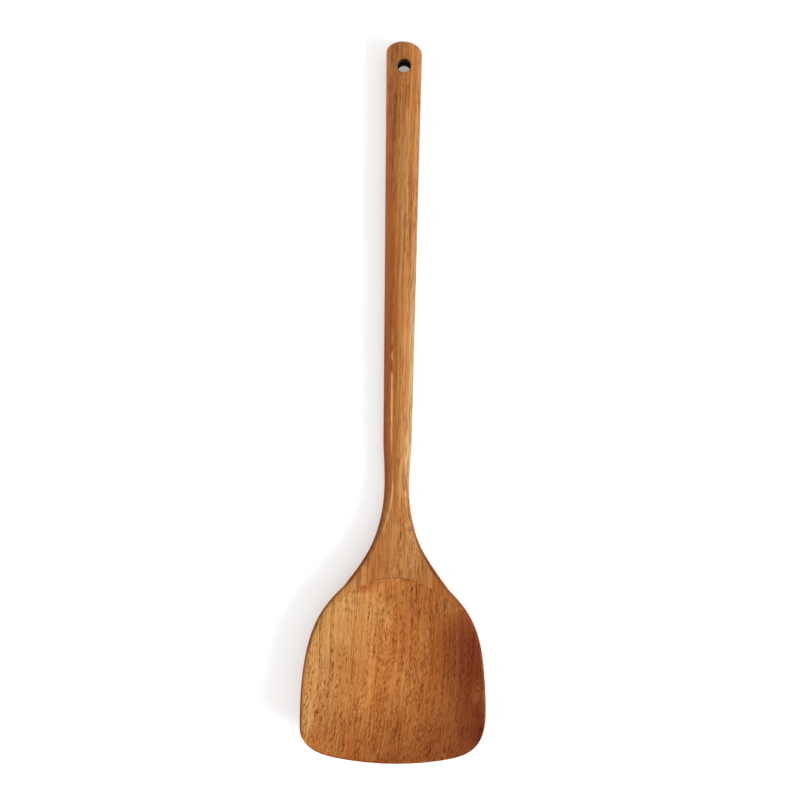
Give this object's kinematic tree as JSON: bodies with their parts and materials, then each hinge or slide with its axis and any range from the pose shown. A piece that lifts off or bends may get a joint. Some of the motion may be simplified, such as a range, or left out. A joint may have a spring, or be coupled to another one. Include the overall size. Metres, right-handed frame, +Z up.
{
  "type": "wooden spatula",
  "caption": "Long-handled wooden spatula with a dished, shovel-shaped blade scarfed to a tapered handle that has a hanging hole.",
  "frame": {"origin": "middle of the underside of the box round the whole spatula, in the plane that the handle's flat underside lies on", "axes": "+Y along the tool to the handle's end, so the blade's front edge is at -Y; +Z up out of the dished face; +X to the right seen from above with the handle's end away"},
  "size_m": [0.0944, 0.37, 0.018],
  "materials": {
    "handle_wood": "oiled satin, straight-grained orange-brown hardwood",
    "blade_wood": "oiled satin, open-pored orange-brown hardwood"
  },
  "bodies": {
    "root": {"handle": "handle_wood", "blade": "blade_wood"}
  },
  "joints": []
}
